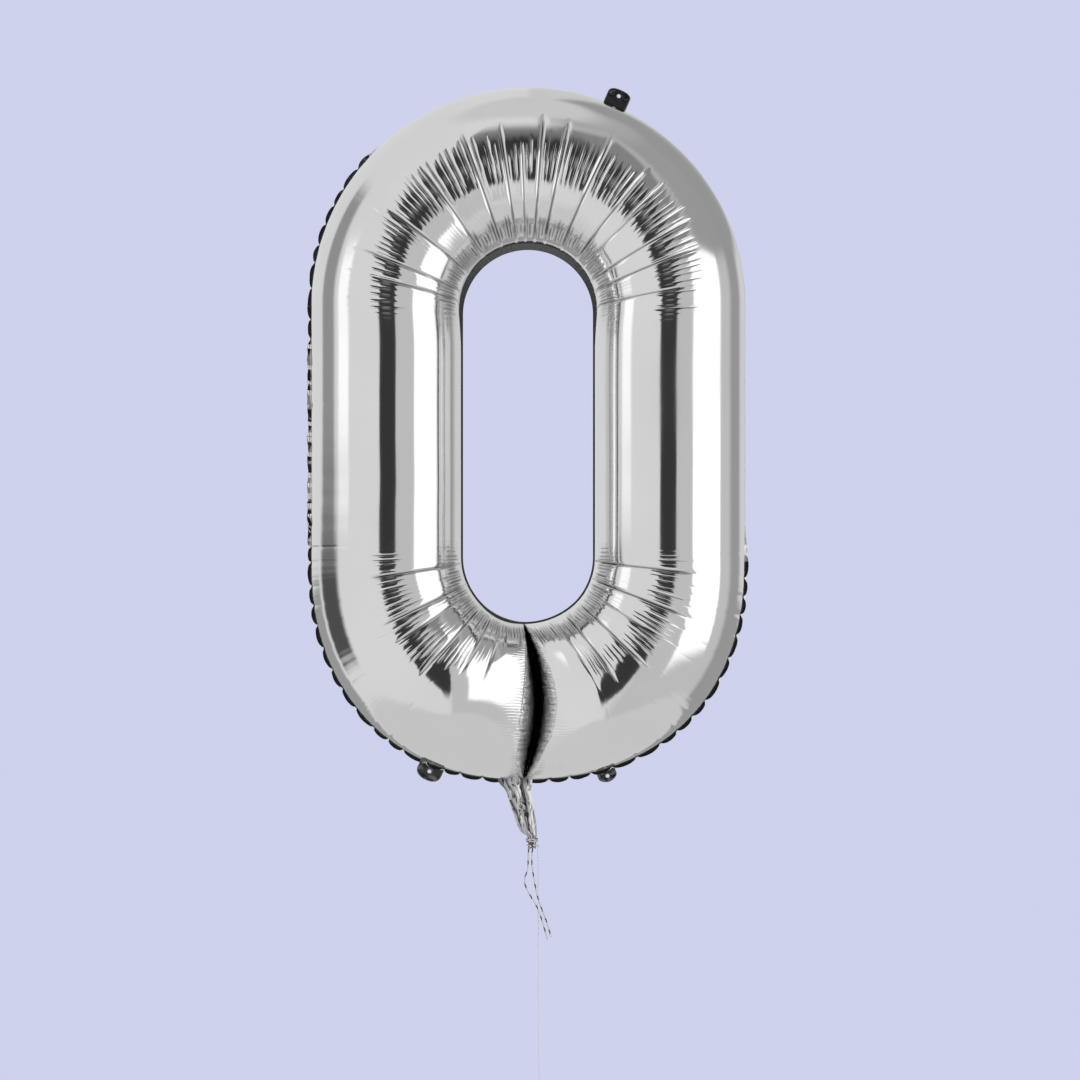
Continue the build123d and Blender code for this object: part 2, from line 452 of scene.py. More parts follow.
def across_steps():
    """Angles round the tube's section from the outer seam to the hole's, closer where the film is pleated."""
    parts = [(0, 12, 7), (12, 54, 9), (54, 108, 27), (108, 136, 9), (136, 180, 22)]
    steps = [np.linspace(low, high, count, endpoint=False) for low, high, count in parts]
    return np.radians(np.concatenate([*steps, [180.0]]))


PHI = across_steps()


def ring_stations():
    """Places round the ring from the closing weld, clockwise: (kind, amount, length along the crest)."""
    fine = int(FINE_REACH / FINE_STEP)
    coarse = int((STRAIGHT - 2 * FINE_REACH) / COARSE_STEP)
    ups = [FINE_REACH * i / fine for i in range(fine)]
    ups += [FINE_REACH + (STRAIGHT - 2 * FINE_REACH) * i / coarse for i in range(coarse)]
    ups += [STRAIGHT - FINE_REACH + FINE_REACH * i / fine for i in range(fine)]
    quarter = int(QUARTER / FINE_STEP)
    stations = [("left_wall", step / WALL_STEPS, 0.0) for step in range(WALL_STEPS)]
    stations += [("foot_left", step / quarter, QUARTER * step / quarter) for step in range(quarter)]
    stations += [("left", up / STRAIGHT, QUARTER + up) for up in ups]
    turns = range(2 * quarter)
    stations += [("head", step / (2 * quarter), HEAD_START + QUARTER * step / quarter) for step in turns]
    stations += [("right", up / STRAIGHT, HEAD_END + up) for up in ups]
    run = HEAD_END + STRAIGHT
    stations += [("foot_right", step / quarter, run + QUARTER * step / quarter) for step in range(quarter)]
    stations += [("right_wall", 1 - step / WALL_STEPS, RING_LENGTH) for step in range(WALL_STEPS + 1)]
    return stations


STATIONS = ring_stations()
KIND = np.array([s[0] for s in STATIONS])
AMOUNT = np.array([s[1] for s in STATIONS])
RUN = np.array([s[2] for s in STATIONS])


def seam_points():
    """x, z of the outer seam and of the hole's free edge at each station."""
    count = len(STATIONS)
    outer, hole = np.zeros((count, 2)), np.zeros((count, 2))
    for k, (kind, amount, _) in enumerate(STATIONS):
        side, up = (-1, amount) if "left" in kind else (1, 1 - amount)
        if kind == "head":
            across, out = math.sin(math.pi * (amount - 0.5)), math.cos(math.pi * (amount - 0.5))
            outer[k] = (OUTER_BEND * across, OUTER_CENTRE + OUTER_BEND * out)
            hole[k] = (HOLE_BEND * across, HOLE_TOP_CENTRE + HOLE_BEND * out)
        elif kind in ("left", "right"):
            outer[k] = (side * OUTER_BEND, -OUTER_CENTRE + STRAIGHT * up)
            hole[k] = (side * HOLE_BEND, HOLE_FOOT_CENTRE + (HOLE_TOP_CENTRE - HOLE_FOOT_CENTRE) * up)
        else:
            angle = 0.0 if "wall" in kind else math.pi / 2 * up
            across, down = math.sin(angle), math.cos(angle)
            full = (across**FULLNESS + down**FULLNESS) ** (-1 / FULLNESS)
            outer[k] = (side * OUTER_BEND * full * across, -OUTER_CENTRE - OUTER_BEND * full * down)
            hole[k] = (side * HOLE_BEND * across, HOLE_FOOT_CENTRE - HOLE_BEND * down)
    return outer, hole


OUTER, HOLE = seam_points()
ACROSS = OUTER - HOLE
OUTWARDS = ACROSS / np.linalg.norm(ACROSS, axis=1)[:, None]
FROM_WELD = np.minimum(RUN, RING_LENGTH - RUN)  # along the crest from the closing weld
TURN_AT = np.degrees(np.minimum(np.abs(RUN - HEAD_MIDDLE), FROM_WELD) / CREST_BEND)  # from the middle of a bend
IN_HEAD = (RUN > HEAD_START - 60) & (RUN < HEAD_END + 60)
BEND = 1 - soft_step(84, 99, TURN_AT)  # 1 where the ring turns and the film is pleated, 0 on the straights
HOLE_FLANGE = 1.6 + 6.0 * soft_step(-40.0, 66.0, HOLE[:, 1] - HOLE_TOP_CENTRE)  # widest over the top


def crease_places():
    """Crest lengths of the long creases, with how deep each is and how far out it reaches (in degrees)."""
    head = [(-80, 0.8, 84), (-72, 0.7, 66), (-56, 0.9, 72), (-38, 0.9, 70), (-21, 1.2, 62), (-9, 1.0, 66)]
    head += [(-2, 0.7, 80), (5, 1.0, 56), (13, 1.2, 62), (27, 1.1, 60), (42, 0.9, 66), (50, 0.6, 84)]
    head += [(63, 0.8, 62), (72, 0.9, 70), (84, 0.7, 84)]
    foot_left = [(20, 0.5, 112), (30, 0.6, 104), (43, 0.9, 88), (58, 0.7, 84), (66, 1.1, 80), (84, 0.8, 78)]
    foot_right = [(22, 0.6, 112), (33, 0.8, 96), (48, 1.0, 84), (60, 0.6, 84), (71, 1.1, 76), (86, 0.9, 74)]
    places = [(HEAD_MIDDLE + math.radians(a) * CREST_BEND, depth, out) for a, depth, out in head]
    places += [(math.radians(a) * CREST_BEND, depth, out) for a, depth, out in foot_left]
    places += [(RING_LENGTH - math.radians(a) * CREST_BEND, depth, out) for a, depth, out in foot_right]
    return sorted(places)


def pinch_places():
    """Lengths along the crest where the outer flange is pinched between two scallops."""
    draw = np.random.default_rng(11)
    places, here = [0.0], 0.0
    while here < RING_LENGTH - 12:
        turning = np.interp(here, RUN, BEND)
        here += draw.uniform(12.5, 18.5) if turning > 0.5 else draw.uniform(19, 30)
        places.append(here)
    return np.array(places[:-1] + [RING_LENGTH])


PINCHES = pinch_places()


def between_pinches():
    """How far each station is from a pinch: 0 at a pinch and 1 at the middle of a scallop."""
    index = np.clip(np.searchsorted(PINCHES, RUN, side="right") - 1, 0, len(PINCHES) - 2)
    low, high = PINCHES[index], PINCHES[index + 1]
    share = np.clip((RUN - low) / (high - low), 0, 1)
    return np.clip(4 * share * (1 - share), 0, 1), np.minimum(RUN - low, high - RUN)


SWELL, PINCH_GAP = between_pinches()


def stretch(rises, falls):
    """1 along one stretch of the crest, with a soft step up and a soft step down."""
    return soft_step(*rises, RUN) * (1 - soft_step(*falls, RUN))


UPPER_LEFT = stretch((HEAD_START - 60, HEAD_START - 20), (HEAD_START + 110, HEAD_START + 128))
LOWER = 1 - soft_step(HEAD_START - 30, HEAD_START, RUN)
RIGHT = soft_step(HEAD_END + 240, HEAD_END + 285, RUN)
SCALLOP = np.maximum(np.maximum(UPPER_LEFT, LOWER), RIGHT)  # 1 where the flange faces forward
CRUMPLE = stretch((QUARTER + 10, QUARTER + 30), (HEAD_START - 60, HEAD_START - 30))


def pleats(seed):
    """The fine radial pleats: the wave along the ring, and each row's depth in mm at the nearest valley."""
    wave = RUN / PLEAT_PITCH + 0.30 * wander(seed + 1, RUN, 9.0) + 0.9 * wander(seed + 2, RUN, 60.0)
    valley = np.rint(wave).astype(int)
    draw = np.random.default_rng(seed + 3)
    own = draw.uniform(0, 1, (5, 2000))[:, valley]
    degrees = np.degrees(PHI)[None, :]
    in_foot = np.interp(TURN_AT, [20, 25, 36, 44, 54, 60], [114, 110, 102, 93, 78, 72])
    start = np.where(IN_HEAD, 70 - 9 * soft_step(10, 60, TURN_AT), in_foot)
    end = np.maximum(97, start + 10) + 13 * (own[1] - 0.4)
    start += 9 * (own[0] - 0.5) + 4 * wander(seed + 4, RUN, 38.0)
    band = soft_step(0, 9, degrees - start[:, None]) * (1 - 0.86 * soft_step(0, 13, degrees - end[:, None]))
    clear = np.where(IN_HEAD, 1.0, soft_step(14, 26, TURN_AT))
    inner_start = (137 + 12 * (own[2] - 0.5))[:, None]
    inner_end = (155 + 8 * (own[3] - 0.5))[:, None]
    inner = soft_step(0, 9, degrees - inner_start) * (1 - soft_step(0, 10, degrees - inner_end))
    inner = inner * (degrees > 120)
    weight = (0.30 + 0.9 * own[4] ** 2) * (0.9 + 0.2 * wander(seed + 5, RUN, 30.0))
    radius = (CREST_BEND + TUBE_DEPTH * np.cos(PHI)[None, :]) / CREST_BEND
    reach = np.maximum(band * clear[:, None], 3.2 * inner)
    calm = 1 - np.where(RUN < HEAD_MIDDLE, 0.5, 0.3) * IN_HEAD * soft_step(42, 68, TURN_AT)
    depth = 0.85 * BEND[:, None] * (calm * weight)[:, None] * reach * radius
    return wave, depth, BEND[:, None] * inner


def displacement(seed):
    """How far the film stands off the plain tube, in mm, at each station and row."""
    run, bend = RUN[:, None], BEND[:, None]
    inward = np.degrees(PHI)[None, :]
    wave, depth, _ = pleats(seed)
    off_valley = np.abs(wave - np.rint(wave))[:, None]
    total = -depth * (0.75 * np.exp(-off_valley / 0.13) + 0.25 * (1 - np.sin(np.pi * off_valley)))

    # long creases that start at the hole, sharp at their bottom, with the film puffed between them
    places = crease_places()
    for place, deep, out in places:
        gap = np.abs(run - place)
        along_it = soft_step(out - 8, out + 10, inward) * (1 - soft_step(166, 178, inward))
        total -= bend * deep * 2.1 * np.exp(-gap / 1.2) * along_it
    marks = np.array([0.0] + [p[0] for p in places] + [RING_LENGTH])
    index = np.clip(np.searchsorted(marks, RUN) - 1, 0, len(marks) - 2)
    t = (RUN - marks[index]) / (marks[index + 1] - marks[index])
    lobe = np.sqrt(np.clip(4 * t * (1 - t), 0, 1))[:, None]
    lift = np.random.default_rng(seed + 7).uniform(0.3, 1.1, len(marks))[index][:, None]
    total += bend * 0.9 * lift * (lobe - 0.7) * soft_step(84, 120, inward) * (1 - soft_step(150, 178, inward))

    # the outer seam is gathered: a crease at each pinch, small pleats between
    scallop, gap = SCALLOP[:, None], PINCH_GAP[:, None]
    from_seam = TUBE_DEPTH * PHI[None, :]
    reach = 28 + 17 * wander(seed + 13, np.rint(run / 12.0) * 12.0, 5.0)
    pinched = (0.1 + 0.9 * scallop) * np.where(IN_HEAD, 0.15, 1.0)[:, None]
    total -= pinched * 1.6 * np.exp(-gap / 1.3) * np.exp(-from_seam / reach)
    total -= scallop * 0.4 * np.exp(-gap / 4.0) * np.exp(-from_seam / 7.0)
    gather = np.abs(np.sin(np.pi * (run / GATHER_PITCH + 0.5 * wander(seed + 8, run, 7.0)))) - 0.6
    corner = 0.3 + 0.7 * soft_step(28, 50, TURN_AT)[:, None]
    length = 16 + 8 * wander(seed + 9, run, 12.0) + 16 * (corner * (1 - IN_HEAD[:, None]))
    strength = scallop * bend * corner * np.where(IN_HEAD, 0.1, 0.36)[:, None]
    total += strength * gather * np.exp(-from_seam / length) * np.clip(from_seam / 2.0, 0, 1)

    # the straights: long shallow folds beside the hole
    fold = np.sin(np.radians(inward * 9.0 + 25 * wander(seed + 10, run, 150.0)))
    total += (1 - bend) * 0.22 * fold * soft_step(118, 140, inward) * (1 - soft_step(160, 178, inward))

    # slow unevenness all over
    slow = wander(seed + 11, run, 85.0) * np.sin(PHI)[None, :]
    slow += wander(seed + 12, run, 47.0) * np.sin(2 * PHI)[None, :] * 0.5
    return total + 0.5 * slow


def shading(seed):
    """Where folds of the film lie so close that they shade each other: 0 open, 1 dark."""
    run, inward = RUN[:, None], np.degrees(PHI)[None, :]
    wave, _, inner = pleats(seed)
    valley = np.exp(-np.abs(wave - np.rint(wave))[:, None] / 0.22)
    dark = inner * (0.20 + 0.42 * valley)
    for place, deep, out in crease_places():
        along_it = soft_step(out, out + 12, inward) * (1 - soft_step(154, 168, inward))
        line = BEND[:, None] * min(1.0, deep) * np.exp(-(((run - place) / 0.9) ** 2))
        dark = np.maximum(dark, line * along_it)
    for wall, spread in (("left_wall", 0.02), ("right_wall", 0.08)):
        on = KIND == wall
        row = 0.5 + 0.5 * row_creases(seed + 60)[None, :]
        up = AMOUNT[on][:, None]
        ragged = soft_step(0.2, 0.5, up + 0.12 * row_creases(seed + 61)[None, :])
        dark[on] = (spread + 0.62 * row**1.5 * ragged) * (1 - 0.6 * soft_step(0.94, 1.0, up))
    return np.clip(dark, 0, 0.9)


LEFT_CREST = (  # how the left lobe's crest wanders beside the weld: share of the way to the hole, x
    (0.0, 0.05, 0.13, 0.22, 0.33, 0.48, 0.66, 0.84, 0.93, 1.0),
    (-5.4, -11.0, -13.6, -12.6, -10.2, -5.8, -2.6, -1.6, -3.2, -5.4),
)


def closing_shapes(share):
    """The closing weld's line and its two walls' crests, from the outer seam (0) to the hole (1), as x."""
    bow = np.sin(np.pi * share)
    weld = -4.5 + 16.5 * bow
    left = np.interp(share, LEFT_CREST[0], LEFT_CREST[1])
    right = -3.4 + 33.5 * bow**0.85
    return weld, left, right


def lobe_drop(distance, start, full, slope):
    """How far the crest has fallen at a distance from the valley: each end of the tube tapers to the weld."""
    steps = np.arange(0, 160, 0.5)
    fall = slope * (1 - soft_step(full, start, steps))
    drop = fall[::-1].cumsum()[::-1] * 0.5
    return np.interp(distance, steps, drop)


def row_creases(seed):
    """A crease across the weld at every other row, each of its own depth: +-1."""
    rows = np.arange(len(PHI))
    own = np.random.default_rng(seed).uniform(0.15, 1.0, len(PHI))
    return np.where(rows % 2 == 0, 1.0, -1.0) * own


LOBES = {"left": (94.0, 50.0, 0.43), "right": (66.0, 26.0, 0.36)}  # where the taper starts and is full, slope


def gathers(seed, from_weld):
    """The pleats that the closing weld pulls across both ends of the tube, in mm, at each station and row."""
    across = TUBE_DEPTH * (1 - np.cos(PHI))[None, :]
    bent = across + 0.25 * from_weld + 2.0 * wander(seed + 2, from_weld, 6.0)
    broad = np.abs(np.sin(np.pi * (bent / 11.5 + 0.6 * wander(seed, bent, 17.0)))) ** 0.7 - 0.6
    small = np.abs(np.sin(np.pi * (bent / 6.7 + 0.5 * wander(seed + 3, bent, 9.0)))) - 0.6
    return (broad + 0.55 * small) * (0.75 + 0.5 * wander(seed + 1, bent, 20.0))


def flange_profile():
    """The outer flange's width, backward tilt and ripple at each station."""
    width = FLANGE * (0.55 + 0.45 * SCALLOP) * (1 - SCALLOP * (1 - 0.06 - 0.94 * SWELL**0.45) * (1 - CRUMPLE))
    width *= 1 + 0.22 * wander(31, RUN, 6.0) * (0.4 + 0.6 * CRUMPLE)
    tilt = math.radians(72) * (1 - SCALLOP) - math.radians(3) * SCALLOP
    tilt += np.radians(2 + 24 * CRUMPLE) * wander(33, RUN, 3.0)
    ripple = SCALLOP * (0.10 * wander(34, RUN, 9.0) + 0.9 * CRUMPLE * wander(35, RUN, 3.2))
    return np.maximum(width, 0.25), tilt, ripple


def panel_points(side, seed):
    """Every point of one panel, station by station: outer flange, the tube's wall over the crest, hole flange."""
    full_width = np.linalg.norm(ACROSS, axis=1)
    half = (full_width - HOLE_FLANGE) / 2
    middle = OUTER - OUTWARDS * half[:, None]
    lift = displacement(seed)
    share = (1 - np.cos(PHI)) / 2
    sine, cosine = np.sin(PHI)[None, :], np.cos(PHI)[None, :]
    flat = middle[:, None, :] + OUTWARDS[:, None, :] * ((half[:, None] + lift) * cosine)[:, :, None]
    depth = (half[:, None] * 0.5 + TUBE_DEPTH * 0.5 + lift) * sine
    weld, left, right = closing_shapes(share)
    x = flat[:, :, 0].copy()
    creased = row_creases(seed + 60)[None, :]
    for name, crest in (("left", left), ("right", right)):
        start, full, slope = LOBES[name]
        on = KIND == "foot_" + name
        from_weld = FROM_WELD[on][:, None]
        x[on] += (1 - soft_step(0.0, LOBE_LEAN, from_weld)) * crest[None, :]
        leaning = from_weld + 40 * np.cos(PHI)[None, :] * soft_step(32, 84, from_weld)
        depth[on] -= lobe_drop(leaning, start, full, slope) * sine
        pulled = gathers(seed + 40, from_weld)
        depth[on] += (0.8 * pulled + 0.35 * creased) * np.exp(-from_weld / 6.0) * sine
        on = KIND == name + "_wall"
        angle = WALL_TOP * AMOUNT[on][:, None]
        width = (crest - weld)[None, :] / (1 - math.cos(WALL_TOP))
        end = TUBE_DEPTH - lobe_drop(0.0, start, full, slope)
        rise = np.sin(angle) / math.sin(WALL_TOP)
        pulled = gathers(seed + 40, -30 * (1 - AMOUNT[on][:, None]))
        shoved = (1.6 * pulled + 1.2 * creased) * np.sin(1.7 * angle) * sine
        x[on] = weld[None, :] + width * (1 - np.cos(angle)) - np.sign(width) * shoved
        depth[on] = (end * rise + (0.8 * pulled + 0.35 * creased) * rise**3) * sine
    points = np.zeros((len(STATIONS), FLANGE_ROWS + len(PHI) + HOLE_ROWS, 3))
    wall = slice(FLANGE_ROWS, FLANGE_ROWS + len(PHI))
    points[:, wall] = np.stack([x, side * (depth + FILM_GAP), flat[:, :, 1]], axis=2)
    width, tilt, ripple = flange_profile()
    first, last = points[:, FLANGE_ROWS], points[:, FLANGE_ROWS + len(PHI) - 1]
    for index in range(FLANGE_ROWS):
        out = (FLANGE_ROWS - index) / FLANGE_ROWS
        step = width * out
        points[:, index, 0] = first[:, 0] + OUTWARDS[:, 0] * step * np.cos(tilt)
        points[:, index, 1] = side * FILM_GAP + step * np.sin(tilt) + ripple * out
        points[:, index, 2] = first[:, 2] + OUTWARDS[:, 1] * step * np.cos(tilt)
    for index in range(HOLE_ROWS):
        step = HOLE_FLANGE * (index + 1) / HOLE_ROWS
        points[:, wall.stop + index, 0] = last[:, 0] - OUTWARDS[:, 0] * step
        points[:, wall.stop + index, 1] = side * FILM_GAP
        points[:, wall.stop + index, 2] = last[:, 2] - OUTWARDS[:, 1] * step
    return points


def float_layer(mesh, name, values):
    mesh.attributes.new(name, "FLOAT", "POINT").data.foreach_set("value", values.astype(np.float32))


def face_out(bm, side):
    """Turn a sheet's faces to the front (-1) or to the back (1)."""
    bm.normal_update()
    if sum(f.normal.y * f.calc_area() for f in bm.faces) * side < 0:
        bmesh.ops.reverse_faces(bm, faces=bm.faces)


def panel_mesh(name, side):
    """One panel as a grid, with its pleats' wave and depth kept on the film for its fine creases."""
    seed = 100 if side < 0 else 500
    points = panel_points(side, seed)
    rows = points.shape[1]
    bm = bmesh.new()
    bmesh.ops.create_grid(bm, x_segments=len(STATIONS) - 1, y_segments=rows - 1, size=0.5)
    grid = np.array([tuple(v.co) for v in bm.verts])
    station = np.rint((grid[:, 0] + 0.5) * (len(STATIONS) - 1)).astype(int)
    row = np.rint((grid[:, 1] + 0.5) * (rows - 1)).astype(int)
    for vert, place in zip(bm.verts, points[station, row] * MM):
        vert.co = place
    face_out(bm, side)
    mesh = finished(bm, name)
    on_wall = np.clip(row - FLANGE_ROWS, 0, len(PHI) - 1)
    wave, depth, _ = pleats(seed)
    # painted shade: the forward-facing scallops and the crumpled stretch of the outer flange are darkened in the
    # base colour
    edge_painted_shade = EDGE_SHADE * np.maximum(SCALLOP, CRUMPLE)[station]
    float_layer(mesh, "shade", np.where(row < FLANGE_ROWS, edge_painted_shade, shading(seed)[station, on_wall]))
    float_layer(mesh, "wave", wave[station])
    float_layer(mesh, "pleat", depth[station, on_wall])
    float_layer(mesh, "gather", np.exp(-FROM_WELD[station] / 7.0) * np.sin(PHI[on_wall]))
    float_layer(mesh, "across", TUBE_DEPTH * PHI[on_wall])
    ends = np.zeros(2 * len(mesh.edges), dtype=int)
    mesh.edges.foreach_get("vertices", ends)
    folded = row[ends].reshape(-1, 2)
    seams = (FLANGE_ROWS, FLANGE_ROWS + len(PHI) - 1)
    sharp = (folded[:, 0] == folded[:, 1]) & np.isin(folded[:, 0], seams)
    mesh.edges.foreach_set("use_edge_sharp", sharp)
    return mesh


def foil_material(name, base, dull, crinkle, pleated=False):
    """Metallised film: a bright mirror with hair-fine creases, handling marks and slightly duller patches, with
    painted shade from the mesh's shade layer darkening its base colour towards near-black.
    """
    material = bpy.data.materials.new(name)
    nodes = Tree(material)
    place = nodes.place()
    patch, fine = nodes.noise(place, 9.0, 5.0), nodes.noise(place, 420.0, 3.0)
    skin = nodes.noise(place, 60.0, 4.0, distortion=0.6)
    cells = {"Vector": place, "Scale": 34.0}
    hair = nodes.node("ShaderNodeTexVoronoi", {"feature": "DISTANCE_TO_EDGE"}, cells, out="Distance")
    marks = 1 - hair.smooth(0.0, 0.02)
    height = (skin * 0.5 + fine * 0.06 + marks * 0.05 * patch) * (crinkle * 0.6)
    if pleated:
        wave, pleat, gather, across = (nodes.layer(name) for name in ("wave", "pleat", "gather", "across"))
        for turns, shift, depth in ((1.0, 0.5, 0.42), (2.0, 0.23, 0.13)):
            height = height - pleat * (1 - (wave * turns + shift).off_middle().smooth(0.0, 0.17)) * depth
        ridges = 1 - (across * (1 / 3.3) + skin * 1.6).off_middle().smooth(0.0, 0.30)
        crushed = nodes.noise(place, 230.0, 2.0)
        height = height - gather * (ridges * 0.45 + gather.smooth(0.75, 1.0) * crushed * 0.8)
    dulled = (base * 0.955, base * 0.955, base * 0.96, 1)
    open_film = nodes.mixed(patch.smooth(0.3, 0.7), grey(base), dulled)
    nodes.finish_plain({
        # painted shade: the base colour goes to near-black where the mesh's shade layer is high
        "Base Color": nodes.mixed(nodes.layer("shade"), open_film, grey(0.03)),
        "Metallic": 1.0,
        "Roughness": patch.smooth(0.35, 0.75) * 0.05 + fine * 0.03 + dull,
        "Normal": nodes.bumped(1.0, MM, height),
    })
    return material


film_look = foil_material("silver_foil", 0.90, 0.06, 0.06, pleated=True)

for node, side in (("front_foil_panel", -1), ("rear_foil_panel", 1)):
    name = node + "_blown"
    add_piece(name, panel_mesh(name, side), "envelope", film_look, node)


# ---------------------------------------------------------------- welds
# The two films are melted together in narrow bands: round the outside, round the hole, and straight
# across the foot, where the weld shuts the ring into a tube with two ends.
WELD_FILM = 0.16
WELD_OVERLAP = 0.3  # how far a band runs past its seam, between the tube's walls
WELD_INSET = 0.15  # how far the outer band stops short of the flange's edge
CLOSING_WIDTH = 4.0
MERGE = 0.01 * MM
ON_RING = np.nonzero((KIND != "left_wall") & (KIND != "right_wall"))[0]


def ribbon(name, near_edge, far_edge):
    """A thin closed band between two lines of points."""
    count = len(near_edge)
    bm = bmesh.new()
    bmesh.ops.create_grid(bm, x_segments=count - 1, y_segments=1, size=0.5)
    for vert in bm.verts:
        index = round((vert.co.x + 0.5) * (count - 1))
        vert.co = Vector(near_edge[index] if vert.co.y < 0 else far_edge[index]) * MM
    bmesh.ops.remove_doubles(bm, verts=bm.verts, dist=MERGE)
    bmesh.ops.recalc_face_normals(bm, faces=bm.faces)
    bmesh.ops.solidify(bm, geom=bm.faces, thickness=WELD_FILM * MM)
    return finished(bm, name)


def beside(seam, out, depth=0.0):
    """A line all round the ring, a distance outwards of a seam."""
    level = np.zeros(len(seam))
    flat = seam + OUTWARDS * (level + out)[:, None]
    return np.stack([flat[:, 0], level + depth, flat[:, 1]], axis=1)[ON_RING]


def outer_weld_lines():
    width, tilt, ripple = flange_profile()
    _, left, right = closing_shapes(0.0)
    crest = np.select([KIND == "foot_left", KIND == "foot_right"], [left, right], 0.0)
    seam = OUTER + np.outer(crest * (1 - soft_step(0.0, LOBE_LEAN, FROM_WELD)), (1, 0))
    reach = width - WELD_INSET
    return beside(seam, -WELD_OVERLAP), beside(seam, reach * np.cos(tilt), reach * np.sin(tilt) + ripple)


def hole_weld_lines():
    return beside(HOLE, 0.1), beside(HOLE, HOLE_FLANGE + WELD_OVERLAP)


def closing_weld_lines():
    top, foot = HOLE_FOOT_CENTRE - HOLE_BEND - 3, -OUTER_CENTRE - OUTER_BEND + 1
    share = np.linspace(0, 1, 61)
    weld, height = closing_shapes(share)[0], foot + (top - foot) * share
    return [np.stack([weld + off, 0 * weld, height], axis=1) for off in (-CLOSING_WIDTH / 2, CLOSING_WIDTH / 2)]


weld_look = foil_material("silver_weld", 0.80, 0.12, 0.5)
for node, lines in (
    ("outer_seal_band", outer_weld_lines()),
    ("hole_seal_band", hole_weld_lines()),
    ("closing_seal_band", closing_weld_lines()),
):
    name = node + "_pressed"
    add_piece(name, ribbon(name, *lines), "envelope", weld_look, node)


# ---------------------------------------------------------------- filling valve
# The balloon seals itself: two long clear films lie together inside the neck, welded along their sides,
# and the gas inside presses them shut. They reach up into the tube from the neck's mouth.
VALVE_FILM, VALVE_SWELL, VALVE_RIPPLE = 0.06 * MM, 1.2 * MM, 0.25 * MM


def valve_material():
    """Thin clear polythene, faintly milky, with fine wrinkles."""
    material = bpy.data.materials.new("valve_film")
    nodes = Tree(material)
    cloud = nodes.noise(nodes.place(), 120.0, 3.0)
    nodes.finish_plain({
        "Base Color": nodes.mixed(cloud, grey(0.78), grey(0.88)),
        "Roughness": cloud * 0.2 + 0.15,
        "Normal": nodes.bumped(0.6, 0.5 * MM, cloud),
        "Alpha": 0.55,
    })
    return material


valve_look = valve_material()
for side, node in ((-1, "valve_front_film"), (1, "valve_rear_film")):
    low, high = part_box(node)
    bm = bmesh.new()
    bmesh.ops.create_grid(bm, x_segments=14, y_segments=36, size=0.5)
    for vert in bm.verts:
        across, up = vert.co.x + 0.5, vert.co.y + 0.5
        swell = math.sin(math.pi * across) * soft_step(0.1, 0.5, up)
        swell *= side * VALVE_SWELL + VALVE_RIPPLE * math.sin(9 * across + 5 * up)
        x, z = low.x + (high.x - low.x) * across, low.z + (high.z - low.z) * up
        vert.co = (x, (low.y + high.y) / 2 + swell, z)
    bmesh.ops.recalc_face_normals(bm, faces=bm.faces)
    bmesh.ops.solidify(bm, geom=bm.faces, thickness=VALVE_FILM)
    add_piece(node + "_sealed", finished(bm, node), "envelope", valve_look, node)


# ---------------------------------------------------------------- filling tail
# Below the foot the two panels run on as a flat neck. Once the balloon is full the neck is gathered by
# hand, tied, and crumples into sharp facets, with one fold of it left sticking out at the left.
TAIL_SHAPE = [  # z, left edge, right edge of the crumpled neck
    (-375.0, -33.0, 5.0),
    (-380.0, -32.5, 5.0),
    (-384.0, -27.5, 3.8),
    (-389.0, -24.0, 3.0),
    (-398.0, -21.0, 4.6),
    (-408.0, -18.0, 6.6),
    (-418.0, -14.4, 8.2),
    (-428.0, -11.0, 9.2),
    (-434.5, -7.0, 9.6),
    (-437.5, -1.6, 9.4),
    (-441.0, 0.1, 8.9),
    (-451.3, 0.2, 8.8),
]
TAIL_ACROSS, TAIL_DOWN = 17, 22
JITTER = 0.30  # how uneven the facets are, as a share of one facet


